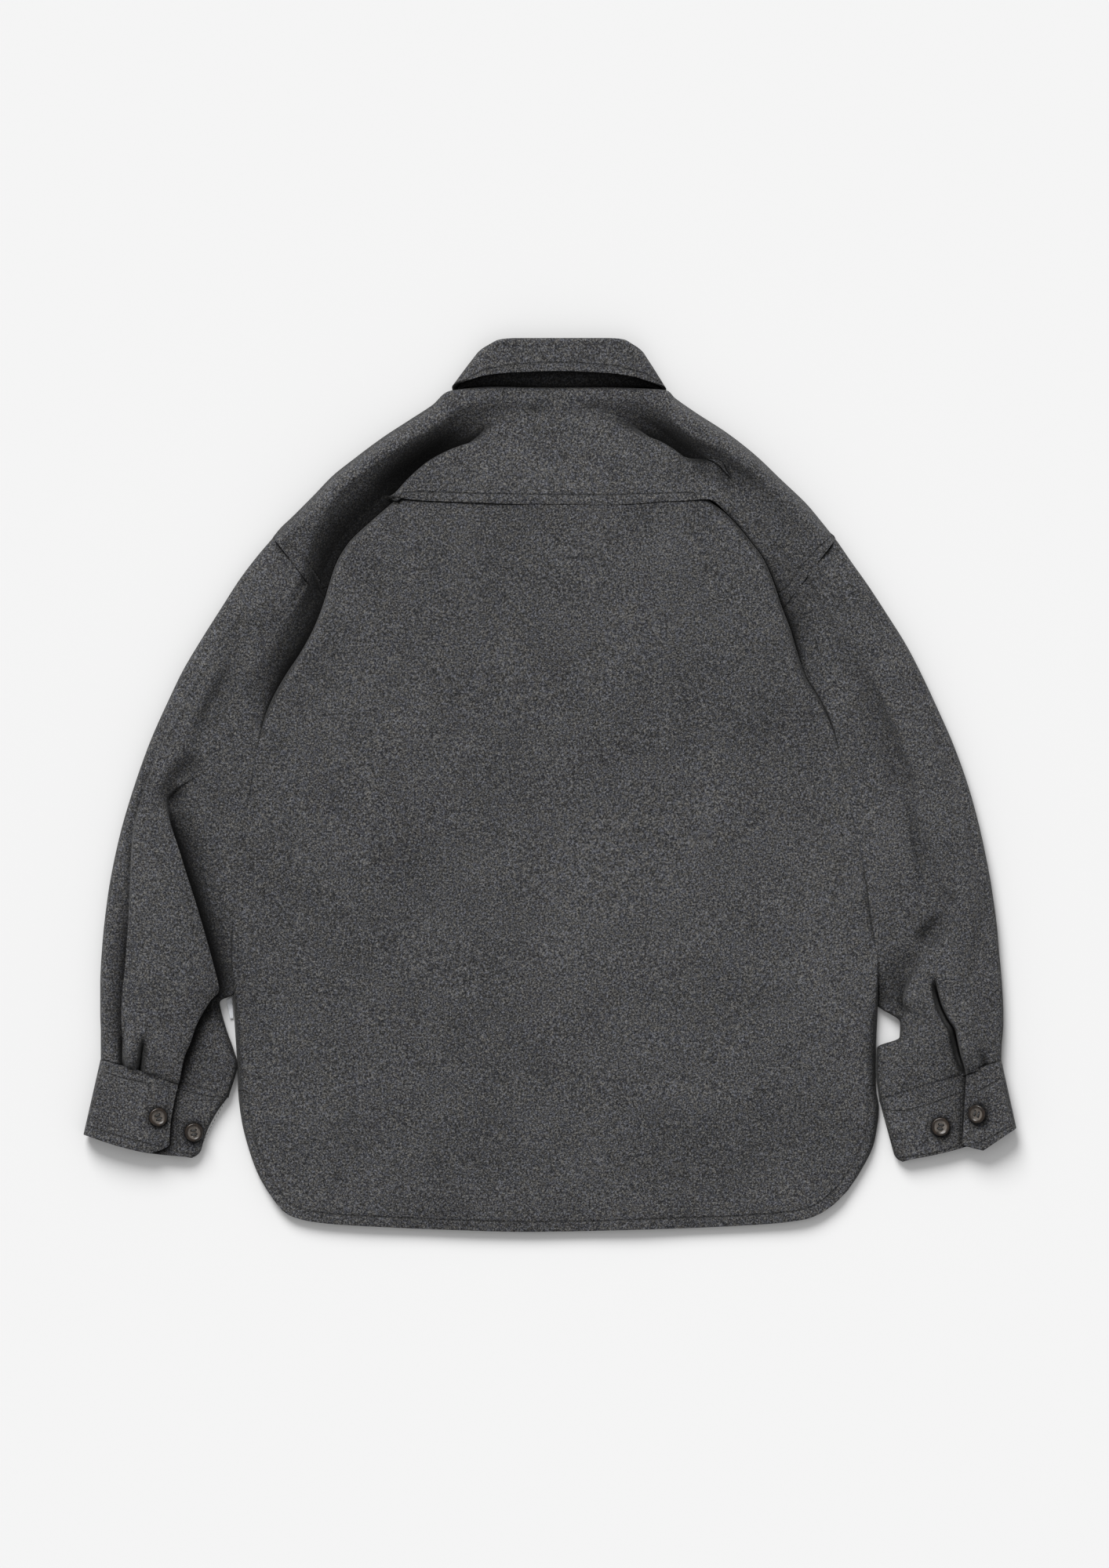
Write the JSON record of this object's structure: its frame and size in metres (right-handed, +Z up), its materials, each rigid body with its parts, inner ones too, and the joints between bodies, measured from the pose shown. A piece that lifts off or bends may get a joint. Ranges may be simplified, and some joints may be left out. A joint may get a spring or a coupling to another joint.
{
  "type": "shacket",
  "caption": "Button-front wool overshirt laid flat on its front, its yoked back up, with a folded collar and long sleeves with buttoned cuffs.",
  "frame": {"origin": "on the floor under the middle of the laid-out garment", "axes": "+X towards the garment's right sleeve, +Y from the hem to the collar, +Z up off the floor"},
  "size_m": [0.862, 0.8254, 0.0229],
  "materials": {
    "wool": "matte heathered melton",
    "horn": "satin horn",
    "tape": "matte woven tape"
  },
  "bodies": {
    "root": {"front_left": "wool", "front_right": "wool", "back": "wool", "yoke": "wool", "sleeve_left": "wool", "sleeve_right": "wool", "cuff_left": "wool", "cuff_right": "wool", "collar_stand": "wool", "collar_leaf": "wool", "side_label": "tape", "cuff_button_1": "horn", "cuff_button_2": "horn", "cuff_button_3": "horn", "cuff_button_4": "horn", "front_button_1": "horn", "front_button_2": "horn", "front_button_3": "horn", "front_button_4": "horn", "front_button_5": "horn", "front_button_6": "horn", "front_button_7": "horn"}
  },
  "joints": []
}
